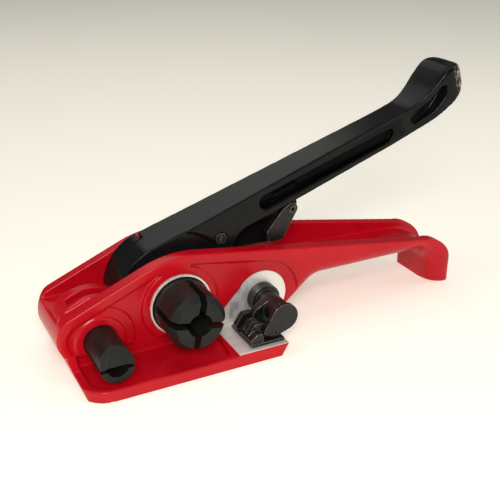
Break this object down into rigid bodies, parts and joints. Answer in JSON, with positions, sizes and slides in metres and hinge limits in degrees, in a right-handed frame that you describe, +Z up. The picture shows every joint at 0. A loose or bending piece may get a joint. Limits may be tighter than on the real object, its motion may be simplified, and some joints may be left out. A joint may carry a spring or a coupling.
{
  "type": "strapping tensioner tool",
  "caption": "Hand strapping tensioner: cast body with foot and finger hook, slotted windlass turned by a ratchet handle, gripper shoe and strap cutter.",
  "frame": {"origin": "on the underside of the foot, directly below the windlass axis, in the plane of the recessed front panel", "axes": "+Z up from the surface the tool stands on, +X along the body towards the finger hook, +Y from the strap side to the rear wall"},
  "size_m": [0.2791, 0.084, 0.1454],
  "materials": {
    "red_paint": "glossy red enamel over a cast body",
    "black_paint": "satin black enamel over a cast body",
    "black_oxide": "matte black oxide on steel, worn on the edges",
    "bright_steel": "turned, bright",
    "bronze": "turned bronze",
    "spring_steel": "oil-tempered wire"
  },
  "bodies": {
    "frame": {"frame_casting": "red_paint", "windlass_front_bush": "bright_steel", "windlass_rear_bush": "bronze", "holding_pawl_pin": "black_oxide", "holding_pawl_spring": "spring_steel", "gripper_front_bush": "bronze", "gripper_rear_bush": "bronze", "gripper_spring": "spring_steel", "cutter_sleeve": "black_oxide", "cutter_spring": "spring_steel", "sleeve_grub_screw": "black_oxide", "jaw_insert": "black_oxide", "jaw_screws": "black_oxide"},
    "windlass": {"windlass_shaft": "black_oxide", "ratchet_wheel": "black_oxide", "ratchet_key": "black_oxide", "rear_washer": "bright_steel", "windlass_retaining_ring": "black_oxide"},
    "handle": {"handle_lever": "black_paint", "rear_cheek": "black_paint", "cheek_screws": "black_oxide", "pawl_pivot_screw": "black_oxide", "release_roll_pin": "black_oxide", "drive_pawl_spring": "spring_steel"},
    "drive_pawl": {"drive_pawl": "black_oxide"},
    "release_lever": {"release_lever": "black_oxide"},
    "holding_pawl": {"holding_pawl": "black_oxide"},
    "gripper": {"gripper_crank": "black_oxide", "gripper_arm": "black_oxide", "gripper_arm_pin": "black_oxide", "gripper_retaining_ring": "black_oxide", "shoe_pin": "black_oxide"},
    "shoe": {"gripper_shoe": "black_oxide"},
    "cutter": {"cutter_rod": "black_oxide", "cutter_arm": "black_oxide", "cutter_arm_pin": "black_oxide", "cutter_retaining_ring": "black_oxide"}
  },
  "joints": [
    {"name": "windlass_spin", "type": "hinge", "parent": "frame", "child": "windlass", "pos_m": [0, 0, 0.0298], "axis": [0, 1, 0], "continuous": true},
    {"name": "handle_swing", "type": "hinge", "parent": "frame", "child": "handle", "pos_m": [0, 0.023, 0.0298], "axis": [0, 1, 0], "range_deg": [-60, 8]},
    {"name": "drive_pawl_lift", "type": "hinge", "parent": "handle", "child": "drive_pawl", "pos_m": [0.0322, 0.0212, 0.0596], "axis": [0, 1, 0], "range_deg": [-22, 0], "stiffness_Nm_per_rad": 0.02, "springref_deg": 8.59},
    {"name": "release_lever_turn", "type": "hinge", "parent": "handle", "child": "release_lever", "pos_m": [0.0806, 0.0135, 0.0688], "axis": [0, 1, 0], "range_deg": [-18, 10]},
    {"name": "holding_pawl_lift", "type": "hinge", "parent": "frame", "child": "holding_pawl", "pos_m": [0.036, 0.0212, 0.02], "axis": [0, 1, 0], "range_deg": [-20, 0], "stiffness_Nm_per_rad": 0.02, "springref_deg": 8.59},
    {"name": "gripper_turn", "type": "hinge", "parent": "frame", "child": "gripper", "pos_m": [0.0532, 0, 0.0214], "axis": [0, 1, 0], "range_deg": [0, 20], "stiffness_Nm_per_rad": 0.35, "springref_deg": -20.05},
    {"name": "shoe_level", "type": "hinge", "parent": "gripper", "child": "shoe", "pos_m": [0.0474, -0.0195, 0.0129], "axis": [0, 1, 0], "range_deg": [-20, 0]},
    {"name": "cutter_turn", "type": "hinge", "parent": "frame", "child": "cutter", "pos_m": [-0.0486, 0, 0.0184], "axis": [0, 1, 0], "range_deg": [-38, 0], "stiffness_Nm_per_rad": 0.2, "springref_deg": 17.19}
  ],
  "couplings": [
    {"joint": "shoe_level", "follows": "gripper_turn", "ratio": -1}
  ]
}
